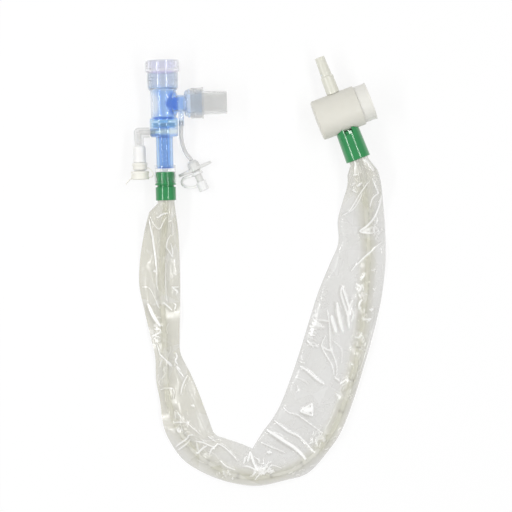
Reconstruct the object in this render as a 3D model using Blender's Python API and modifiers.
# Closed suction catheter with a T-piece, lying flat as it comes out of its pack.
# The T-piece axis is +Y, its side branch is +X, and the floor is z = 0.
# All sizes are in millimetres and angles in degrees; MM turns them into metres.

import math

import bmesh
import bpy
from mathutils import Matrix, Vector

MM = 0.001
GAP = 0.3                     # clearance between pieces that seat on each other

# Number of facets round large, middle and small turned pieces
FINE = 24
MEDIUM = 16
COARSE = 12
FILLET_STEPS = 2
SMALL_FILLET = 0.5            # below this an edge is a plain chamfer

# Catheter, size 14 French, and the film sleeve round it
CATHETER_OD = 4.67
CATHETER_WALL = 0.85
CATHETER_R = CATHETER_OD / 2
CATHETER_BORE_R = CATHETER_R + GAP
CATHETER_BED = 0.75           # height of the lying catheter's underside
FILM_WALL = 0.35
FILM_BED = 0.1                # height of the lying film's underside
DROP_LENGTH = 48.0            # length over which sleeve and catheter sink to the floor

# T-piece: heights along its axis from the branch crossing
RIM_R = 11.55
RIM_TOP = 29.2
RIM_BASE = 21.0
RIM_WALL = 1.5
CUP_TOP = 20.7
CUP_R = 10.5
CUP_WALL = 1.2
CUP_BASE = 10.7
CUP_FLOOR = 10.6
TUBE_R = 8.5
TUBE_TOP = 8.3
AIRWAY_R = 7.0
COLLAR_R = 9.5
COLLAR_TOP = -9.4
COLLAR_SPLIT = -15.9
COLLAR_BASE = -22.3
WEB_TOP = -11.5
WEB_THICKNESS = 1.5
WEB_HOLE_R = 3.1
SEAL_THICKNESS = 1.9
SEAT_R = 7.7
SOCKET_15_R = 7.75            # 15 mm female cone of the patient port
SNAP_DEPTH = 0.6
PATIENT_SNAP = 16.6

# Side branch, measured outwards from the T-piece axis
ROOT_R = 8.2                  # boss where the branch leaves the tube
ROOT_END = 8.6
ROOT_SHOULDER = 1.1
NECK_R = 5.75
NECK_END = 13.9
NECK_BORE_R = 4.5
FLANGE_R = 9.65
FLANGE_END = 18.2
FLANGE_RIM = 1.6              # length of the widest part
FLANGE_STEP = 0.75            # how much lower the flange's second step is
FLANGE_STEP_START = 3.1
SPIGOT_R = 8.6
SPIGOT_END = 26.2
SPIGOT_BORE_R = 6.2
SPIGOT_BORE_START = 16.0
BRANCH_SNAP = 21.2
SKIRT_R = 10.25
SKIRT_END = 27.1
CONE_15_R = 7.75              # 15 mm male cone for the ventilator tubing
CONE_END = 42.9
CONE_BORE_R = 6.4

# Flush chamber, adapter and green ring under the T-piece
CHAMBER_R = 5.8
CHAMBER_BORE_R = 3.7
CHAMBER_END = -43.5
ADAPTER_R = 7.35
ADAPTER_TOP = -41.2
ADAPTER_END = -53.3
ADAPTER_WALL = 0.8
ADAPTER_WEB = 1.8
RING_FLANGE_R = 7.15
RING_GROOVE_R = 5.7
RING_R = 6.85
RING_WALL = 0.8
RING_END = -65.0
RING_SKIRT_TOP = -56.1
FILM_SLOT_TOP = -58.0

# Gas line nipple, line and winged luer fitting
NIPPLE_X = 11.8
NIPPLE_R = 1.85
NIPPLE_END = -15.0
NIPPLE_SOCKET_TOP = -9.0
LINE_R = 1.15
LINE_SOCKET_R = LINE_R + GAP
LINE_CHANNEL_R = 0.7
LUER_PLACE = (20.0, -44.2, 4.1)    # from the branch crossing; the last value is its height
LUER_ANGLE = 22.7                  # turned from the T-piece axis towards the branch
LUER_HUB_R = 4.0
LUER_HUB_TOP = -6.0
LUER_SOCKET_DEPTH = 4.0
LUER_STEM_R = 2.5
LUER_STEM_END = 14.0
LUER_BORE_R = 1.7
WING_SPAN = 23.8
WING_THICKNESS = 2.4
WING_HEIGHT = 6.6
LUER_CAP_R = 3.5
LUER_CAP_START = 9.3
LUER_CAP_END = 15.9
LUER_RING_START = 2.4
LUER_RING_END = 4.2
LUER_RING_WALL = 1.1
LUER_STRAP_WIDTH = 1.6
LUER_STRAP_THICKNESS = 1.9
# Its strap seen from above, from the ring to the cap: sideways, along
LUER_STRAP = ((-6.4, 2.9), (-9.6, 2.8), (-11.8, 4.7), (-11.4, 7.5), (-8.7, 9.8), (-5.6, 10.9))

# Irrigation port beside the flush chamber
PORT_X = -17.0
PORT_ARM_Z = -18.9
ELBOW_ARM_R = 3.4
ELBOW_DROP_R = 3.1
ELBOW_DROP_END = -27.4
ELBOW_SPIGOT_R = 2.6
ELBOW_SPIGOT_END = -31.0
ELBOW_PEG_R = 1.9
ELBOW_PEG_LENGTH = 4.6
ELBOW_BORE_R = 1.3
HOUSING_R = 4.25
HOUSING_NECK_R = 3.85
HOUSING_NECK_TOP = -39.0
HOUSING_END = -44.6
HOUSING_BORE_R = 1.9
VALVE_SHELF = -34.9
CAP_R = 6.2
CAP_END = -50.5
CAP_RING_R = 5.1
CAP_PLUG_TOP = -39.5
STRAP_THICKNESS = 0.7
STRAP_WIDTH = 3.2

# Thumb valve: heights along the barrel axis from its closed end
BARREL_R = 13.7
BARREL_END = 30.3
BARREL_WALL = 1.6
BARREL_FLOOR = 3.0
PISTON_BORE_R = 7.3
PISTON_WALL = 1.6
PISTON_TUBE_END = 29.0
MOUTH_FLOOR = 21.8
MOUTH_R = 12.95
CROSS_PORT = 16.9
CROSS_PORT_R = 2.0
STUB_R = 4.6
SOCKET_R = 3.5
SOCKET_FLOOR = 9.5
BUTTON_TRAVEL = 5.0
BUTTON_WALL = 1.35
BUTTON_SKIRT = 28.3
BUTTON_END = 38.8
STEM_R = 3.0
STEM_END = 36.6
STEM_CORE_R = 4.1
STEM_COLLAR = 1.2
PLUG_START = 14.2
PLUG_END = 26.8
SPRING_SEAT = 12.9
SPRING_BOSS_R = 2.95
SPRING_BOSS = 2.5
SPRING_R = 4.3
SPRING_WIRE_R = 0.35
SPRING_TURNS = 5
SPRING_STEPS = 8

# Fittings on the barrel: distances from the barrel axis
CONNECTOR_START = 9.8
CONNECTOR_BORE_R = 1.9
SUCTION_BASE_R = 4.5
SUCTION_STEP = 25.4
SUCTION_TAPER_R = 3.75
SUCTION_TIP_R = 3.3
SUCTION_END = 39.5
HOLDER_FLANGE_R = 6.6
HOLDER_FLANGE_END = 16.4
HOLDER_END = 33.0
CATHETER_STOP = 12.0
GREEN_RING_START = 11.2
GREEN_RING_END = 33.9
GREEN_RING_TOP_R = 7.95
GREEN_RING_MOUTH_R = 8.5
GREEN_RING_BORE_R = 6.9
NOTCH_WIDTH = 5.6
NOTCH_END = 16.2

# Where the pieces lie on the floor
T_PLACE = Vector((-60.0, 114.8, RIM_R))
BARREL_PLACE = Vector((43.1, 100.1, BARREL_R))
BARREL_ANGLE = 19.3
CATHETER_TIP = -14.0          # along the T-piece axis, inside the wiper seal

# Sleeve seen from above, from the T-piece to the thumb valve. Each line holds the
# outer edge, the inner edge, and where the catheter lies between them from 0 to 1.
SLEEVE_PLAN = (
    ((-71.6, 42.4), (-53.7, 41.9), 0.60),
    ((-75.4, 29.0), (-52.4, 28.3), 0.58),
    ((-78.9, 11.5), (-52.2, 10.7), 0.56),
    ((-80.1, -6.7), (-52.4, -7.5), 0.55),
    ((-76.9, -25.1), (-52.9, -25.8), 0.52),
    ((-73.7, -40.7), (-53.7, -41.3), 0.47),
    ((-70.7, -55.7), (-53.4, -54.1), 0.40),
    ((-70.5, -71.2), (-47.1, -67.8), 0.28),
    ((-68.2, -86.2), (-41.7, -81.5), 0.22),
    ((-66.6, -101.1), (-36.1, -97.9), 0.27),
    ((-62.2, -113.4), (-32.0, -108.8), 0.33),
    ((-53.1, -126.5), (-25.7, -112.0), 0.32),
    ((-38.5, -136.0), (-16.3, -115.4), 0.26),
    ((-21.1, -142.3), (-9.0, -118.6), 0.21),
    ((-3.6, -144.8), (-6.6, -119.4), 0.22),
    ((14.0, -141.9), (-4.1, -115.7), 0.18),
    ((30.4, -137.3), (0.8, -108.4), 0.18),
    ((43.6, -123.8), (7.8, -99.5), 0.13),
    ((53.5, -109.9), (13.5, -89.8), 0.12),
    ((62.2, -89.9), (20.0, -74.5), 0.12),
    ((70.3, -66.5), (27.0, -55.8), 0.13),
    ((77.7, -43.0), (34.0, -35.0), 0.19),
    ((83.4, -21.5), (41.0, -14.9), 0.26),
    ((86.7, 0.0), (49.3, 3.8), 0.32),
    ((87.5, 14.8), (55.4, 17.8), 0.37),
    ((87.3, 31.1), (55.5, 32.7), 0.39),
    ((86.3, 46.0), (58.9, 45.4), 0.44),
    ((85.0, 58.2), (62.3, 56.1), 0.49),
    ((82.9, 66.3), (62.5, 62.9), 0.48),
)
RIDGE_COLUMNS = 11            # columns across the upper film, without its two edges
BED_COLUMNS = 5               # columns across the lower film
EDGE_HEIGHT = 1.5
SHOULDER = 2.9                # reach of the film's hump to each side of the catheter
HUMP_HALF = 1.3
HUMP_COVER = 0.95             # film above the top of the catheter
BILLOW = 3.3
PLEAT = 2.0
NECK_PLEAT = 1.0

# Gas line seen from above, from the branch crossing: sideways, along, height
LINE_ROUTE = (
    (NIPPLE_X, -11.5, RIM_R),
    (NIPPLE_X, NIPPLE_END, RIM_R),
    (11.5, -19.2, 11.0),
    (11.5, -23.4, 9.8),
    (12.4, -28.8, 7.6),
    (14.3, -33.6, 5.5),
)


# Collections, frames and materials

def clear_scene():
    for thing in list(bpy.data.objects):
        bpy.data.objects.remove(thing, do_unlink=True)


def new_collection(name):
    collection = bpy.data.collections.new(name)
    bpy.context.scene.collection.children.link(collection)
    return collection


def frame_at(origin, axis, side):
    z_axis = Vector(axis).normalized()
    x_axis = Vector(side).normalized()
    y_axis = z_axis.cross(x_axis)
    matrix = Matrix((x_axis, y_axis, z_axis)).transposed().to_4x4()
    matrix.translation = Vector(origin) * MM
    return matrix


def flat_direction(angle):
    turn = math.radians(angle)
    return Vector((math.cos(turn), math.sin(turn), 0.0))


def shifted(frame, x=0.0, y=0.0, z=0.0):
    return frame @ Matrix.Translation(Vector((x, y, z)) * MM)


def finish(thing, colour, roughness):
    material = bpy.data.materials.new(thing.name + "_finish")
    material.use_nodes = True
    shader = material.node_tree.nodes["Principled BSDF"]
    shader.inputs["Base Color"].default_value = (*colour, 1.0)
    shader.inputs["Roughness"].default_value = roughness
    shader.inputs["Metallic"].default_value = 0.0
    material.diffuse_color = (*colour, 1.0)
    thing.data.materials.clear()
    thing.data.materials.append(material)


# Shapes

def place(name, data, frame, collection):
    thing = bpy.data.objects.new(name, data)
    thing.matrix_world = frame
    collection.objects.link(thing)
    if collection is cutters:
        thing.hide_render = True
        thing.display_type = "WIRE"
    return thing


def softened(points, closed):
    # A point is (radius, height) or (radius, height, fillet radius).
    result = []
    count = len(points)
    for index, point in enumerate(points):
        here = Vector(point[:2])
        fillet = point[2] if len(point) > 2 else 0.0
        at_end = not closed and index in (0, count - 1)
        if fillet <= 0.0 or at_end:
            result.append(here)
            continue
        before = Vector(points[index - 1][:2]) - here
        after = Vector(points[(index + 1) % count][:2]) - here
        reach = min(fillet, 0.45 * before.length, 0.45 * after.length)
        start = here + before.normalized() * reach
        end = here + after.normalized() * reach
        steps = FILLET_STEPS if fillet >= SMALL_FILLET else 1
        for step in range(steps + 1):
            t = step / steps
            result.append(start * (1 - t) ** 2 + here * 2 * t * (1 - t) + end * t ** 2)
    return result


def turned(name, points, frame, collection, steps=MEDIUM):
    closed = points[0][0] > 0.0
    outline = softened(points, closed)
    mesh = bpy.data.meshes.new(name)
    vertices = [(point.x * MM, 0.0, point.y * MM) for point in outline]
    edges = [(index, index + 1) for index in range(len(vertices) - 1)]
    if closed:
        edges.append((len(vertices) - 1, 0))
    mesh.from_pydata(vertices, edges, [])
    thing = place(name, mesh, frame, collection)
    screw = thing.modifiers.new("turn", "SCREW")
    screw.steps = steps
    screw.render_steps = steps
    screw.use_merge_vertices = True
    screw.merge_threshold = 0.00001
    screw.use_smooth_shade = True
    return thing


def rod(name, radius, start, end, frame, collection, steps=MEDIUM):
    mesh = bpy.data.meshes.new(name)
    shape = bmesh.new()
    lift = Matrix.Translation(Vector((0.0, 0.0, (start + end) / 2 * MM)))
    bmesh.ops.create_cone(
        shape, cap_ends=True, segments=steps, radius1=radius * MM, radius2=radius * MM,
        depth=abs(end - start) * MM, matrix=lift)
    shape.to_mesh(mesh)
    shape.free()
    return place(name, mesh, frame, collection)


def ball(name, radius, frame, collection):
    mesh = bpy.data.meshes.new(name)
    shape = bmesh.new()
    bmesh.ops.create_uvsphere(shape, u_segments=MEDIUM, v_segments=COARSE, radius=radius * MM)
    shape.to_mesh(mesh)
    shape.free()
    return place(name, mesh, frame, collection)


def block(name, size, frame, collection, corner=0.0):
    # The corners seen along the frame's own axis are rounded by the corner radius.
    mesh = bpy.data.meshes.new(name)
    shape = bmesh.new()
    bmesh.ops.create_cube(shape, size=1.0, matrix=Matrix.Diagonal((*(Vector(size) * MM), 1.0)))
    if corner > 0.0:
        upright = [edge for edge in shape.edges
                   if abs(edge.verts[0].co.z - edge.verts[1].co.z) > size[2] * MM / 2]
        bmesh.ops.bevel(shape, geom=upright, offset=corner * MM, segments=4,
                        profile=0.5, affect="EDGES")
    shape.to_mesh(mesh)
    shape.free()
    return place(name, mesh, frame, collection)


def smooth_through(points, pieces):
    # Catmull-Rom curve through the points, which are vectors of any one size
    result = []
    last = len(points) - 1
    for index in range(last):
        a = points[max(index - 1, 0)]
        b = points[index]
        c = points[index + 1]
        d = points[min(index + 2, last)]
        for step in range(pieces):
            t = step / pieces
            result.append(0.5 * (2 * b + (c - a) * t + (2 * a - 5 * b + 4 * c - d) * t ** 2
                                 + (3 * b - a - 3 * c + d) * t ** 3))
    result.append(points[last])
    return result


def poly_curve(name, points, radius, frame, collection, capped=True, dimensions="3D"):
    data = bpy.data.curves.new(name, "CURVE")
    data.dimensions = dimensions
    spline = data.splines.new("POLY")
    spline.points.add(len(points) - 1)
    for spot, point in zip(spline.points, points):
        spot.co = (*(Vector(point) * MM), 1.0)
    data.bevel_depth = radius * MM
    data.bevel_resolution = 2
    data.use_fill_caps = capped
    return place(name, data, frame, collection)


def ribbon(name, points, width, thickness, frame):
    # A strap: a line in the frame's XY plane, widened along its Z and thickened
    line = smooth_through([Vector((x, y, 0.0)) for x, y in points], 3)
    guide = poly_curve(name + "_line", line, 0.0, frame, cutters, False, "2D")
    guide.data.fill_mode = "NONE"
    guide.data.extrude = width / 2 * MM
    bpy.context.view_layer.update()
    evaluated = guide.evaluated_get(bpy.context.evaluated_depsgraph_get())
    mesh = bpy.data.meshes.new_from_object(evaluated)
    bpy.data.objects.remove(guide, do_unlink=True)
    strap = place(name, mesh, frame, cutters)
    wall = strap.modifiers.new("thickness", "SOLIDIFY")
    wall.thickness = thickness * MM
    wall.offset = 0.0
    return strap


def combine(target, other, operation):
    boolean = target.modifiers.new(other.name, "BOOLEAN")
    boolean.operation = operation
    boolean.object = other
    boolean.solver = "EXACT"


def join(target, other):
    combine(target, other, "UNION")


def cut(target, other):
    combine(target, other, "DIFFERENCE")


# T-piece with its two swivels

def make_t_piece():
    cup_bore = CUP_R - CUP_WALL
    body = turned("t_piece_body", (
        (0.0, CUP_TOP), (CUP_R, CUP_TOP, 0.4), (CUP_R - 0.15, CUP_BASE, 1.2),
        (TUBE_R, TUBE_TOP, 0.8), (TUBE_R, COLLAR_TOP, 0.4), (COLLAR_R, COLLAR_TOP - 0.5, 0.3),
        (COLLAR_R, COLLAR_SPLIT), (0.0, COLLAR_SPLIT)), main_frame, parts, FINE)
    step_r = FLANGE_R - FLANGE_STEP
    branch = turned("branch", (
        (0.0, SPIGOT_END), (SPIGOT_R, SPIGOT_END, 0.3), (SPIGOT_R, BRANCH_SNAP + 1.1),
        (SPIGOT_R - SNAP_DEPTH, BRANCH_SNAP + 0.6), (SPIGOT_R - SNAP_DEPTH, BRANCH_SNAP - 0.6),
        (SPIGOT_R, BRANCH_SNAP - 1.1), (SPIGOT_R, FLANGE_END), (FLANGE_R, FLANGE_END, 0.3),
        (FLANGE_R, FLANGE_END - FLANGE_RIM), (step_r, FLANGE_END - FLANGE_RIM - 0.4),
        (step_r, FLANGE_END - FLANGE_STEP_START), (step_r - 1.3, NECK_END + 0.3),
        (NECK_R, NECK_END), (NECK_R, ROOT_END + ROOT_SHOULDER), (ROOT_R, ROOT_END),
        (ROOT_R, 1.0), (0.0, 1.0)), branch_frame, cutters, FINE)
    nipple = rod("nipple", NIPPLE_R, NIPPLE_END, -3.0, shifted(main_frame, NIPPLE_X),
                 cutters, COARSE)
    web_base = WEB_TOP - WEB_THICKNESS
    bore = turned("main_bore", (
        (0.0, CUP_TOP + 1.0), (cup_bore, CUP_TOP + 1.0), (cup_bore, PATIENT_SNAP + 1.2),
        (cup_bore + SNAP_DEPTH, PATIENT_SNAP + 0.7), (cup_bore + SNAP_DEPTH, PATIENT_SNAP - 0.7),
        (cup_bore, PATIENT_SNAP - 1.2), (cup_bore, CUP_FLOOR), (AIRWAY_R, CUP_FLOOR - 0.6),
        (AIRWAY_R, WEB_TOP), (WEB_HOLE_R, WEB_TOP), (WEB_HOLE_R, web_base), (SEAT_R, web_base),
        (SEAT_R, COLLAR_SPLIT - 1.0), (0.0, COLLAR_SPLIT - 1.0)), main_frame, cutters, FINE)
    branch_bore = turned("branch_bore", (
        (0.0, SPIGOT_END + 1.0), (SPIGOT_BORE_R, SPIGOT_END + 1.0),
        (SPIGOT_BORE_R, SPIGOT_BORE_START), (NECK_BORE_R, SPIGOT_BORE_START - 1.0),
        (NECK_BORE_R, 0.5), (0.0, 0.5)), branch_frame, cutters)
    line_bore = turned("line_bore", (
        (0.0, -2.0), (LINE_CHANNEL_R, -2.0), (LINE_CHANNEL_R, NIPPLE_SOCKET_TOP),
        (LINE_SOCKET_R, NIPPLE_SOCKET_TOP), (LINE_SOCKET_R, NIPPLE_END - 1.0),
        (0.0, NIPPLE_END - 1.0)), shifted(main_frame, NIPPLE_X), cutters, COARSE)
    join(body, branch)
    join(body, nipple)
    for cutter in (bore, branch_bore, line_bore):
        cut(body, cutter)
    finish(body, (0.20, 0.42, 0.85), 0.15)


def make_patient_swivel():
    spigot_r = CUP_R - CUP_WALL - GAP
    socket_wall = SOCKET_15_R + 1.15
    pocket_floor = RIM_TOP - 5.5
    swivel = turned("patient_swivel", (
        (RIM_R, RIM_TOP, 0.5), (RIM_R, RIM_BASE + 1.2, 0.3), (CUP_R, RIM_BASE),
        (spigot_r, RIM_BASE), (spigot_r, PATIENT_SNAP + 0.9),
        (spigot_r + SNAP_DEPTH, PATIENT_SNAP + 0.4), (spigot_r + SNAP_DEPTH, PATIENT_SNAP - 0.4),
        (spigot_r, PATIENT_SNAP - 0.9), (spigot_r, CUP_FLOOR + GAP),
        (AIRWAY_R, CUP_FLOOR + GAP), (AIRWAY_R, CUP_FLOOR + 2.3),
        (SOCKET_15_R - 0.2, CUP_FLOOR + 2.3), (SOCKET_15_R, RIM_TOP),
        (socket_wall, RIM_TOP), (socket_wall, pocket_floor),
        (RIM_R - RIM_WALL, pocket_floor), (RIM_R - RIM_WALL, RIM_TOP)),
        main_frame, parts, FINE)
    finish(swivel, (0.62, 0.66, 0.78), 0.12)


def make_ventilator_swivel():
    skirt_start = FLANGE_END + GAP
    skirt_bore = SPIGOT_R + GAP + 0.05
    wall_start = SPIGOT_END + GAP
    lip_r = SKIRT_R + 0.3
    swivel = turned("ventilator_swivel", (
        (CONE_15_R - 0.1, CONE_END, 0.3), (CONE_15_R + 0.1, SKIRT_END + 0.4),
        (CONE_15_R + 0.4, SKIRT_END), (lip_r, SKIRT_END, 0.3), (lip_r, SKIRT_END - 1.1),
        (SKIRT_R, SKIRT_END - 1.4), (SKIRT_R, skirt_start, 0.3), (skirt_bore, skirt_start),
        (skirt_bore, BRANCH_SNAP - 0.8), (skirt_bore - SNAP_DEPTH, BRANCH_SNAP - 0.3),
        (skirt_bore - SNAP_DEPTH, BRANCH_SNAP + 0.3), (skirt_bore, BRANCH_SNAP + 0.8),
        (skirt_bore, wall_start), (CONE_BORE_R, wall_start), (CONE_BORE_R, CONE_END)),
        branch_frame, parts, FINE)
    finish(swivel, (0.66, 0.68, 0.72), 0.12)


# Wiper seal, flush chamber, adapter and green ring

def make_wiper_seal():
    top = WEB_TOP - WEB_THICKNESS - GAP
    base = top - SEAL_THICKNESS
    middle = (top + base) / 2
    seal = turned("wiper_seal", (
        (SEAT_R - GAP, top), (SEAT_R - GAP, base), (CATHETER_BORE_R + 1.6, base),
        (CATHETER_BORE_R, middle - 0.25), (CATHETER_BORE_R, middle + 0.25),
        (CATHETER_BORE_R + 1.6, top)), main_frame, parts)
    finish(seal, (0.80, 0.80, 0.78), 0.6)


def make_flush_chamber():
    seal_base = WEB_TOP - WEB_THICKNESS - GAP - SEAL_THICKNESS
    top = seal_base - GAP
    shoulder = COLLAR_SPLIT - GAP
    chamber = turned("flush_chamber", (
        (SEAT_R - GAP, top), (SEAT_R - GAP, shoulder), (COLLAR_R, shoulder),
        (COLLAR_R, COLLAR_BASE, 1.4), (CHAMBER_R, COLLAR_BASE), (CHAMBER_R, CHAMBER_END, 0.3),
        (CHAMBER_BORE_R, CHAMBER_END), (CHAMBER_BORE_R, top)), main_frame, parts, FINE)
    inlet = rod("irrigation_inlet", ELBOW_PEG_R + GAP, -COLLAR_R - 1.0, -CHAMBER_BORE_R / 2,
                across_frame, cutters, COARSE)
    cut(chamber, inlet)
    finish(chamber, (0.18, 0.42, 0.82), 0.15)


def make_sleeve_adapter():
    web_top = CHAMBER_END - GAP
    socket_top = web_top - ADAPTER_WEB
    adapter = turned("sleeve_adapter", (
        (ADAPTER_R, ADAPTER_TOP, 0.4), (ADAPTER_R, ADAPTER_END, 0.3),
        (ADAPTER_R - ADAPTER_WALL, ADAPTER_END), (ADAPTER_R - ADAPTER_WALL, socket_top),
        (CHAMBER_BORE_R, socket_top), (CHAMBER_BORE_R, web_top),
        (CHAMBER_R + GAP, web_top), (CHAMBER_R + GAP, ADAPTER_TOP)), main_frame, parts)
    finish(adapter, (0.75, 0.77, 0.82), 0.12)


def make_patient_end_ring():
    top = CHAMBER_END - GAP - ADAPTER_WEB - GAP
    spigot_r = ADAPTER_R - ADAPTER_WALL - GAP
    flange_top = ADAPTER_END - GAP
    ring = turned("patient_end_ring", (
        (spigot_r, top, 0.3), (spigot_r, flange_top), (RING_FLANGE_R, flange_top),
        (RING_FLANGE_R, flange_top - 1.0), (RING_GROOVE_R, flange_top - 1.3),
        (RING_GROOVE_R, RING_SKIRT_TOP + 0.3), (RING_R, RING_SKIRT_TOP, 0.3),
        (RING_R, RING_END, 0.7), (RING_R - RING_WALL, RING_END),
        (RING_R - RING_WALL, FILM_SLOT_TOP), (neck_inner_r(RING_R - RING_WALL), FILM_SLOT_TOP),
        (neck_inner_r(RING_R - RING_WALL), RING_END), (CHAMBER_BORE_R, RING_END),
        (CHAMBER_BORE_R, top)), main_frame, parts)
    finish(ring, (0.03, 0.29, 0.12), 0.3)


def neck_outer_r(bore_r):
    return bore_r - GAP


def neck_inner_r(bore_r):
    return neck_outer_r(bore_r) - FILM_WALL - GAP


# Irrigation port

def make_irrigation_elbow():
    arm_start = -COLLAR_R - GAP
    elbow = rod("irrigation_elbow", ELBOW_ARM_R, PORT_X, arm_start, across_frame, parts)
    corner = ball("elbow_corner", ELBOW_ARM_R, shifted(across_frame, z=PORT_X), cutters)
    peg = rod("elbow_peg", ELBOW_PEG_R, arm_start - 1.0, arm_start + ELBOW_PEG_LENGTH,
              across_frame, cutters, COARSE)
    port_frame = shifted(main_frame, PORT_X)
    drop = turned("elbow_drop", (
        (0.0, PORT_ARM_Z), (ELBOW_DROP_R, PORT_ARM_Z), (ELBOW_DROP_R, ELBOW_DROP_END),
        (ELBOW_SPIGOT_R, ELBOW_DROP_END), (ELBOW_SPIGOT_R, ELBOW_SPIGOT_END),
        (0.0, ELBOW_SPIGOT_END)), port_frame, cutters)
    arm_bore = rod("elbow_arm_bore", ELBOW_BORE_R, PORT_X, 0.0, across_frame, cutters, COARSE)
    drop_bore = rod("elbow_drop_bore", ELBOW_BORE_R + 0.05, ELBOW_SPIGOT_END - 1.0,
                    PORT_ARM_Z + 0.6, port_frame, cutters, COARSE)
    for piece in (corner, drop, peg):
        join(elbow, piece)
    cut(elbow, arm_bore)
    cut(elbow, drop_bore)
    finish(elbow, (0.78, 0.78, 0.74), 0.2)


def make_irrigation_valve():
    port_frame = shifted(main_frame, PORT_X)
    top = ELBOW_DROP_END - GAP
    housing = turned("irrigation_valve_housing", (
        (HOUSING_R - 0.7, top), (HOUSING_R, top - 1.2, 0.4), (HOUSING_R, HOUSING_NECK_TOP),
        (HOUSING_NECK_R, HOUSING_NECK_TOP), (HOUSING_NECK_R, HOUSING_END, 0.3),
        (HOUSING_BORE_R, HOUSING_END), (HOUSING_BORE_R, VALVE_SHELF),
        (ELBOW_SPIGOT_R + GAP, VALVE_SHELF), (ELBOW_SPIGOT_R + GAP, top)), port_frame, parts)
    finish(housing, (0.86, 0.86, 0.84), 0.5)
    flange_base = VALVE_SHELF + GAP
    bill_top = ELBOW_SPIGOT_END - GAP
    valve = turned("irrigation_check_valve", (
        (0.0, flange_base + 1.2), (ELBOW_SPIGOT_R, flange_base + 1.2),
        (ELBOW_SPIGOT_R, flange_base), (0.0, flange_base)), port_frame, parts, COARSE)
    bill = duckbill("duckbill", 1.9, 0.45, flange_base + 0.5, bill_top, port_frame)
    slit = duckbill("duckbill_slit", 1.35, 0.15, flange_base - 0.1, bill_top + 0.1, port_frame)
    join(valve, bill)
    cut(valve, slit)
    finish(valve, (0.82, 0.80, 0.74), 0.6)


def duckbill(name, radius, lip, start, end, frame):
    # A round tube that flattens towards its upper end, with as many facets on both lips
    mesh = bpy.data.meshes.new(name)
    shape = bmesh.new()
    middle = (start + end) / 2 * MM
    bmesh.ops.create_cone(shape, cap_ends=True, segments=2 * (COARSE // 2), radius1=radius * MM,
                          radius2=radius * MM, depth=(end - start) * MM,
                          matrix=Matrix.Translation((0.0, 0.0, middle)))
    for vertex in shape.verts:
        if vertex.co.z > middle:
            vertex.co.x *= lip / radius
    shape.to_mesh(mesh)
    shape.free()
    return place(name, mesh, frame, cutters)


def make_irrigation_cap():
    port_frame = shifted(main_frame, PORT_X)
    top = HOUSING_END - GAP
    plug_r = HOUSING_BORE_R - GAP
    cap = turned("irrigation_cap", (
        (0.0, CAP_PLUG_TOP), (plug_r, CAP_PLUG_TOP, 0.4), (plug_r, top), (CAP_R, top, 0.5),
        (CAP_R - 0.2, CAP_END, 0.6), (CAP_R - 1.5, CAP_END), (CAP_R - 1.5, CAP_END + 3.4),
        (0.0, CAP_END + 3.4)), port_frame, parts)
    ring_top = HOUSING_NECK_TOP - GAP
    ring_base = HOUSING_END + 0.8
    ring = turned("cap_ring", (
        (CAP_RING_R, ring_top, 0.5), (CAP_RING_R, ring_top - 1.8),
        (CAP_RING_R - 0.25, ring_top - 2.1), (CAP_RING_R - 0.25, ring_base),
        (HOUSING_NECK_R + GAP, ring_base),
        (HOUSING_NECK_R + GAP, ring_top)), port_frame, cutters)
    strap_clear = -ADAPTER_R - GAP - 0.6
    ring_side = PORT_X + CAP_RING_R - 0.5
    cap_side = PORT_X + CAP_R - 0.6
    strap = ribbon("cap_strap", (
        (ring_side, ring_base + 1.2), (ring_side + 1.6, ring_base + 0.6),
        (strap_clear - 0.7, ring_base - 1.2), (strap_clear, ring_base - 3.4),
        (strap_clear - 0.9, CAP_END + 1.6), (cap_side, CAP_END + 1.3)),
        STRAP_WIDTH, STRAP_THICKNESS, flat_frame)
    far_side = PORT_X - CAP_R
    tab = ribbon("cap_tab", (
        (far_side + 0.7, CAP_END + 1.3), (far_side - 0.9, CAP_END + 0.2),
        (far_side - 2.6, CAP_END - 1.6), (far_side - 3.6, CAP_END - 3.0)),
        STRAP_WIDTH + 1.6, STRAP_THICKNESS, flat_frame)
    for piece in (ring, strap, tab):
        join(cap, piece)
    finish(cap, (0.82, 0.80, 0.70), 0.5)


# Gas line with its winged luer fitting and cap

def make_line():
    hub_top = luer_frame @ Vector((0.0, 0.0, (LUER_HUB_TOP + LUER_SOCKET_DEPTH - 0.5) * MM))
    entry = luer_frame @ Vector((0.0, 0.0, (LUER_HUB_TOP - 1.5) * MM))
    corner = Vector((T_PLACE.x, T_PLACE.y, 0.0))
    guide = [Vector(point) + corner for point in LINE_ROUTE]
    guide += [entry / MM, hub_top / MM]
    route = smooth_through(guide, 3)
    line = poly_curve("extension_tube", route, LINE_R, Matrix.Identity(4), parts)
    finish(line, (0.80, 0.80, 0.78), 0.2)


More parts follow.
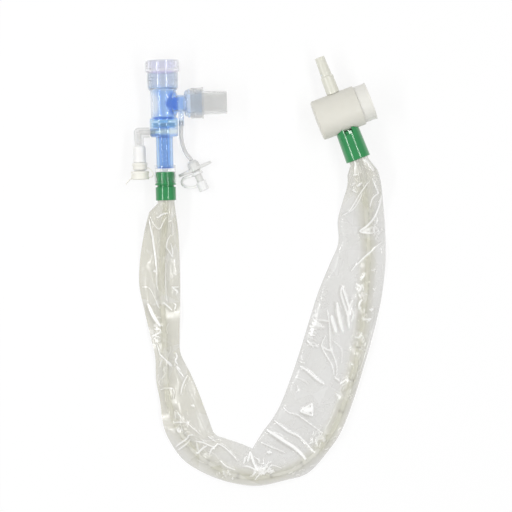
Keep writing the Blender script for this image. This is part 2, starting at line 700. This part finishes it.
def make_winged_luer():
    luer = turned("winged_luer", (
        (0.0, LUER_STEM_END), (LUER_STEM_R - 0.1, LUER_STEM_END, 0.2), (LUER_STEM_R, 1.6, 0.3),
        (LUER_HUB_R, 1.2, 0.5), (LUER_HUB_R, LUER_HUB_TOP + 2.0, 0.8),
        (LUER_HUB_R - 1.4, LUER_HUB_TOP), (0.0, LUER_HUB_TOP)), luer_frame, parts)
    wings = block("luer_wings", (WING_SPAN, WING_HEIGHT, WING_THICKNESS), luer_frame,
                  cutters, WING_HEIGHT * 0.35)
    socket_floor = LUER_HUB_TOP + LUER_SOCKET_DEPTH
    bore = turned("luer_bore", (
        (0.0, LUER_STEM_END + 1.0), (LUER_BORE_R, LUER_STEM_END + 1.0),
        (LUER_BORE_R, LUER_STEM_END / 2), (LINE_CHANNEL_R, LUER_STEM_END / 2 - 1.0),
        (LINE_CHANNEL_R, socket_floor), (LINE_SOCKET_R, socket_floor),
        (LINE_SOCKET_R, LUER_HUB_TOP - 1.0), (0.0, LUER_HUB_TOP - 1.0)),
        luer_frame, cutters, COARSE)
    join(luer, wings)
    cut(luer, bore)
    finish(luer, (0.84, 0.84, 0.82), 0.35)


def make_luer_cap():
    bore_r = LUER_STEM_R + GAP + 0.1
    cap = turned("luer_cap", (
        (0.0, LUER_CAP_END), (LUER_CAP_R, LUER_CAP_END, 0.6), (LUER_CAP_R, LUER_CAP_START, 0.3),
        (bore_r, LUER_CAP_START), (bore_r, LUER_STEM_END + GAP), (0.0, LUER_STEM_END + GAP)),
        luer_frame, parts)
    ring_r = bore_r + LUER_RING_WALL
    ring = turned("luer_ring", (
        (ring_r, LUER_RING_END, 0.3), (ring_r, LUER_RING_START, 0.3),
        (bore_r, LUER_RING_START), (bore_r, LUER_RING_END)), luer_frame, cutters)
    ring_joint = (-bore_r - LUER_RING_WALL / 2, (LUER_RING_START + LUER_RING_END) / 2)
    cap_joint = (-(bore_r + LUER_CAP_R) / 2, LUER_CAP_START + LUER_STRAP_THICKNESS)
    strap = ribbon("luer_strap", (ring_joint, *LUER_STRAP, cap_joint),
                   LUER_STRAP_WIDTH, LUER_STRAP_THICKNESS, luer_strap_frame)
    join(cap, ring)
    join(cap, strap)
    finish(cap, (0.88, 0.88, 0.87), 0.4)


# Catheter and its film sleeve

def smooth_step(value):
    t = min(max(value, 0.0), 1.0)
    return t * t * (3 - 2 * t)


def sleeve_rows():
    # Each row: outer edge, inner edge, catheter share, height of the axis it leaves,
    # radius of the nearest neck, and how far it has sunk from 0 (neck) to 1 (floor).
    packed = [Vector((*outer, *inner, share)) for outer, inner, share in SLEEVE_PLAN]
    plan = smooth_through(packed, 2)
    t_neck_r = neck_outer_r(RING_R - RING_WALL)
    valve_neck_r = neck_outer_r(GREEN_RING_BORE_R)
    t_mouth = Vector((T_PLACE.x, T_PLACE.y + RING_END))
    valve_axis = (port_frame_out.to_3x3() @ Vector((0.0, 0.0, 1.0))).xy
    valve_side = (port_frame_out.to_3x3() @ Vector((1.0, 0.0, 0.0))).xy
    valve_mouth = (port_frame_out.translation / MM).xy + valve_axis * GREEN_RING_END
    rows = []
    for back in (FILM_SLOT_TOP - RING_END - 1.0, 1.5, -2.0):
        centre = t_mouth + Vector((0.0, back))
        side = Vector((-t_neck_r, 0.0))
        rows.append((centre + side, centre - side, 0.5, T_PLACE.z, t_neck_r, 0.0))
    for index, entry in enumerate(plan):
        outer = Vector(entry[0:2])
        inner = Vector(entry[2:4])
        middle = outer.lerp(inner, entry[4])
        from_t = (middle - t_mouth).length
        from_valve = (middle - valve_mouth).length
        if from_t < from_valve:
            neck = (T_PLACE.z, t_neck_r, smooth_step(from_t / DROP_LENGTH))
        else:
            neck = (BARREL_PLACE.z, valve_neck_r, smooth_step(from_valve / DROP_LENGTH))
        on_floor = neck[2] == 1.0
        if index % 2 == 0 or not on_floor:
            rows.append((outer, inner, entry[4], *neck))
    for back in (-2.0, 1.5, GREEN_RING_END - HOLDER_FLANGE_END - 2.0):
        centre = valve_mouth - valve_axis * back
        side = valve_side * valve_neck_r
        rows.append((centre + side, centre - side, 0.5, BARREL_PLACE.z, valve_neck_r, 0.0))
    return rows


def catheter_height(axis_height, sunk):
    lying = CATHETER_BED + CATHETER_R
    return axis_height + (lying - axis_height) * sunk


def flat_section(width, place_across, row):
    # Distances from the outer edge and heights of a row that lies on the floor
    hump = CATHETER_BED + CATHETER_OD + HUMP_COVER
    left = place_across - SHOULDER
    right = place_across + SHOULDER
    edge = 0.6
    top = [(edge, EDGE_HEIGHT + 1.4)]
    top.append(((edge + left) / 2, BILLOW + 0.7 * PLEAT * math.sin(row * 0.8)))
    top += [(left, BILLOW + 0.9), (place_across - HUMP_HALF, hump)]
    top += [(place_across + HUMP_HALF, hump), (right, BILLOW + 0.9)]
    free = RIDGE_COLUMNS - len(top)
    for index in range(1, free):
        share = index / free
        pleat = PLEAT * math.sin(math.pi * index + row * 0.55) * math.sin(math.pi * share)
        top.append((right + (width - right) * share, BILLOW + pleat))
    top.append((width - edge, EDGE_HEIGHT + 1.1))
    bottom = [(width - 1.2, FILM_BED + 0.3),
              (place_across + 0.55 * (width - place_across), FILM_BED),
              (place_across + 2.4, FILM_BED), (place_across - 0.6, FILM_BED),
              (0.45 * place_across, FILM_BED + 0.2)]
    return [(0.0, EDGE_HEIGHT)] + top + [(width, EDGE_HEIGHT)] + bottom


def sleeve_ring(row_index, row):
    outer, inner, share, axis_height, neck_r, sunk = row
    across = inner - outer
    width = across.length
    flat = flat_section(width, share * width, row_index)
    half = RIDGE_COLUMNS + 1
    ring = []
    for column, (flat_across, flat_height) in enumerate(flat):
        if column <= half:
            angle = math.pi * column / half
        else:
            angle = math.pi * (1 + (column - half) / (BED_COLUMNS + 1))
        round_across = width / 2 * (1 - math.cos(angle))
        round_height = axis_height + neck_r * math.sin(angle)
        pleat = NECK_PLEAT * math.sin(math.pi * sunk) * (-1) ** column
        along = round_across + (flat_across - round_across) * sunk
        height = round_height + (flat_height - round_height) * sunk + pleat * (1 - sunk)
        spot = outer + across * (along / width)
        ring.append(Vector((spot.x, spot.y, height)) * MM)
    return ring


def make_sleeve():
    shape = bmesh.new()
    rings = []
    for index, row in enumerate(sleeve_rows()):
        rings.append([shape.verts.new(point) for point in sleeve_ring(index, row)])
    for first, second in zip(rings, rings[1:]):
        count = len(first)
        for column in range(count):
            after = (column + 1) % count
            shape.faces.new((first[column], first[after], second[after], second[column]))
    bmesh.ops.recalc_face_normals(shape, faces=shape.faces)
    mesh = bpy.data.meshes.new("sleeve")
    shape.to_mesh(mesh)
    shape.free()
    sleeve = place("sleeve", mesh, Matrix.Identity(4), parts)
    wall = sleeve.modifiers.new("film", "SOLIDIFY")
    wall.thickness = FILM_WALL * MM
    wall.offset = -1.0
    finish(sleeve, (0.80, 0.80, 0.77), 0.2)


def make_catheter():
    x, y, z = T_PLACE
    route = [Vector((x, y + along, z)) for along in (CATHETER_TIP, -30.0, -46.0, RING_END + 4.0)]
    for outer, inner, share, axis_height, neck_r, sunk in sleeve_rows()[3:-3]:
        spot = outer.lerp(inner, share)
        route.append(Vector((spot.x, spot.y, catheter_height(axis_height, sunk))))
    for along in (GREEN_RING_END - 3.0, (GREEN_RING_START + HOLDER_END) / 2, CATHETER_STOP + GAP):
        route.append(port_frame_out @ Vector((0.0, 0.0, along * MM)) / MM)
    catheter = poly_curve("catheter", route, CATHETER_R, Matrix.Identity(4), parts, False)
    wall = catheter.modifiers.new("wall", "SOLIDIFY")
    wall.thickness = CATHETER_WALL * MM
    wall.offset = -1.0
    finish(catheter, (0.80, 0.78, 0.70), 0.3)


# Thumb valve and what is fitted to it

def make_valve_body():
    body = turned("valve_body", (
        (0.0, BARREL_FLOOR + SPRING_BOSS), (SPRING_BOSS_R, BARREL_FLOOR + SPRING_BOSS, 0.3),
        (SPRING_BOSS_R, BARREL_FLOOR), (PISTON_BORE_R, BARREL_FLOOR),
        (PISTON_BORE_R, PISTON_TUBE_END), (PISTON_BORE_R + PISTON_WALL, PISTON_TUBE_END),
        (PISTON_BORE_R + PISTON_WALL, BARREL_FLOOR), (BARREL_R - BARREL_WALL, BARREL_FLOOR),
        (BARREL_R - BARREL_WALL, MOUTH_FLOOR), (MOUTH_R, MOUTH_FLOOR), (MOUTH_R, BARREL_END),
        (BARREL_R, BARREL_END, 0.3), (BARREL_R, 0.0, 1.6), (0.0, 0.0)), barrel_frame, parts, FINE)
    wall_middle = PISTON_BORE_R + 0.2
    stub_end = BARREL_R - 1.1
    for name, frame in (("outlet_stub", port_frame_out), ("suction_stub", port_frame_suction)):
        join(body, rod(name, STUB_R, wall_middle, stub_end, frame, cutters))
    reach = BARREL_R + 1.5
    ports = turned("cross_ports", (
        (0.0, reach), (SOCKET_R, reach), (SOCKET_R, SOCKET_FLOOR), (CROSS_PORT_R, SOCKET_FLOOR),
        (CROSS_PORT_R, -SOCKET_FLOOR), (SOCKET_R, -SOCKET_FLOOR), (SOCKET_R, -reach),
        (0.0, -reach)), port_frame_out, cutters)
    cut(body, ports)
    finish(body, (0.74, 0.72, 0.65), 0.4)


def cross_hole(name):
    return rod(name, CROSS_PORT_R, -BARREL_R, BARREL_R,
               port_frame_out @ Matrix.Translation((BUTTON_TRAVEL * MM, 0.0, 0.0)),
               cutters, COARSE)


def make_valve_inside():
    plug = turned("valve_plug", (
        (PISTON_BORE_R - GAP, PLUG_END, 0.3), (PISTON_BORE_R - GAP, PLUG_START, 0.3),
        (STEM_CORE_R + GAP, PLUG_START), (STEM_CORE_R + GAP, PLUG_END)), barrel_frame, parts)
    cut(plug, cross_hole("plug_hole"))
    finish(plug, (0.60, 0.60, 0.58), 0.6)
    collar = PLUG_END + GAP
    collar_r = STEM_CORE_R + 1.4
    stem = turned("valve_stem", (
        (0.0, STEM_END), (STEM_R, STEM_END, 0.4), (STEM_R, collar + STEM_COLLAR),
        (collar_r, collar + STEM_COLLAR), (collar_r, collar), (STEM_CORE_R, collar),
        (STEM_CORE_R, PLUG_START - GAP),
        (PISTON_BORE_R - 0.9, PLUG_START - GAP), (PISTON_BORE_R - 0.9, SPRING_SEAT),
        (SPRING_BOSS_R, SPRING_SEAT), (SPRING_BOSS_R, SPRING_SEAT - 1.9, 0.3),
        (0.0, SPRING_SEAT - 1.9)), barrel_frame, parts)
    cut(stem, cross_hole("stem_hole"))
    finish(stem, (0.78, 0.78, 0.76), 0.4)


def make_valve_spring():
    start = BARREL_FLOOR + GAP + SPRING_WIRE_R
    end = SPRING_SEAT - GAP - SPRING_WIRE_R
    count = SPRING_TURNS * SPRING_STEPS
    route = []
    for index in range(count + 1):
        angle = 2 * math.pi * index / SPRING_STEPS
        height = start + (end - start) * index / count
        route.append((SPRING_R * math.cos(angle), SPRING_R * math.sin(angle), height))
    spring = poly_curve("valve_spring", route, SPRING_WIRE_R, barrel_frame, parts)
    finish(spring, (0.60, 0.60, 0.60), 0.3)


def make_valve_button():
    button_r = MOUTH_R - GAP
    top_floor = BUTTON_END - 1.6
    boss_start = PLUG_END + GAP + STEM_COLLAR + 2.0
    button = turned("valve_button", (
        (0.0, BUTTON_END), (button_r + 0.3, BUTTON_END, 0.3), (button_r + 0.3, BUTTON_END - 0.6),
        (button_r - 0.1, BUTTON_END - 1.2), (button_r, BUTTON_SKIRT),
        (button_r - BUTTON_WALL, BUTTON_SKIRT), (button_r - BUTTON_WALL, top_floor),
        (STEM_R + GAP + 1.3, top_floor), (STEM_R + GAP + 1.3, boss_start),
        (STEM_R + GAP, boss_start), (STEM_R + GAP, STEM_END + GAP),
        (0.0, STEM_END + GAP)), barrel_frame, parts, FINE)
    finish(button, (0.84, 0.82, 0.78), 0.35)


def make_suction_connector():
    base_top = BARREL_R + GAP + 2.0
    connector = turned("suction_connector", (
        (SUCTION_TIP_R, SUCTION_END, 0.3), (SUCTION_TAPER_R, SUCTION_STEP + 0.6),
        (SUCTION_BASE_R - 0.1, SUCTION_STEP, 0.3), (SUCTION_BASE_R - 0.1, base_top),
        (SOCKET_R - GAP, base_top), (SOCKET_R - GAP, CONNECTOR_START),
        (CONNECTOR_BORE_R, CONNECTOR_START), (CONNECTOR_BORE_R + 0.2, SUCTION_END)),
        port_frame_suction, parts)
    base = turned("suction_base", (
        (SUCTION_BASE_R, base_top + 1.0), (SUCTION_BASE_R, BARREL_R - 1.2),
        (SOCKET_R - GAP - 0.6, BARREL_R - 1.2), (SOCKET_R - GAP - 0.6, base_top + 1.0)),
        port_frame_suction, cutters)
    cut(base, barrel_saddle)
    join(connector, base)
    finish(connector, (0.72, 0.71, 0.58), 0.3)


def make_catheter_holder():
    spigot_r = neck_inner_r(GREEN_RING_BORE_R)
    holder = turned("catheter_holder", (
        (spigot_r, HOLDER_END, 0.3), (spigot_r, HOLDER_FLANGE_END),
        (HOLDER_FLANGE_R, HOLDER_FLANGE_END), (HOLDER_FLANGE_R, BARREL_R + GAP),
        (SOCKET_R - GAP, BARREL_R + GAP), (SOCKET_R - GAP, CONNECTOR_START),
        (CONNECTOR_BORE_R, CONNECTOR_START), (CONNECTOR_BORE_R, CATHETER_STOP),
        (CATHETER_BORE_R, CATHETER_STOP), (CATHETER_BORE_R, HOLDER_END)), port_frame_out, parts)
    finish(holder, (0.80, 0.80, 0.78), 0.4)


def make_valve_end_ring():
    ring = turned("valve_end_ring", (
        (GREEN_RING_MOUTH_R, GREEN_RING_END, 0.9), (GREEN_RING_TOP_R, GREEN_RING_START),
        (GREEN_RING_BORE_R, GREEN_RING_START), (GREEN_RING_BORE_R, GREEN_RING_END)),
        port_frame_out, parts, FINE)
    cut(ring, barrel_saddle)
    notch_size = (NOTCH_WIDTH, GREEN_RING_TOP_R * 2, (NOTCH_END - GREEN_RING_START) * 2)
    notch_frame = shifted(port_frame_out, 0.0, GREEN_RING_TOP_R + 2.0, GREEN_RING_START)
    notch = block("ring_notch", notch_size, notch_frame, cutters)
    cut(ring, notch)
    finish(ring, (0.03, 0.29, 0.12), 0.3)


clear_scene()
parts = new_collection("suction_catheter")
cutters = new_collection("cutters")

main_frame = frame_at(T_PLACE, (0, 1, 0), (1, 0, 0))
branch_frame = frame_at(T_PLACE, (1, 0, 0), (0, 1, 0))
flat_frame = frame_at(T_PLACE, (0, 0, 1), (1, 0, 0))
across_frame = frame_at(T_PLACE + Vector((0.0, PORT_ARM_Z, 0.0)), (1, 0, 0), (0, 1, 0))

luer_axis = flat_direction(LUER_ANGLE - 90.0)
luer_side = flat_direction(LUER_ANGLE)
luer_origin = Vector((T_PLACE.x + LUER_PLACE[0], T_PLACE.y + LUER_PLACE[1], LUER_PLACE[2]))
luer_frame = frame_at(luer_origin, luer_axis, luer_side)
luer_strap_frame = frame_at(luer_origin, (0, 0, -1), luer_side)

barrel_axis = flat_direction(BARREL_ANGLE)
suction_axis = flat_direction(BARREL_ANGLE + 90.0)
port_origin = BARREL_PLACE + barrel_axis * CROSS_PORT
barrel_frame = frame_at(BARREL_PLACE, barrel_axis, suction_axis)
port_frame_out = frame_at(port_origin, -suction_axis, barrel_axis)
port_frame_suction = frame_at(port_origin, suction_axis, barrel_axis)
barrel_saddle = rod("barrel_saddle", BARREL_R + GAP, -10.0, BARREL_END + 10.0, barrel_frame,
                    cutters, 48)

make_t_piece()
make_patient_swivel()
make_ventilator_swivel()
make_wiper_seal()
make_flush_chamber()
make_sleeve_adapter()
make_patient_end_ring()
make_irrigation_elbow()
make_irrigation_valve()
make_irrigation_cap()
make_line()
make_winged_luer()
make_luer_cap()
make_sleeve()
make_catheter()
make_valve_body()
make_valve_inside()
make_valve_spring()
make_valve_button()
make_suction_connector()
make_catheter_holder()
make_valve_end_ring()
bpy.context.view_layer.update()
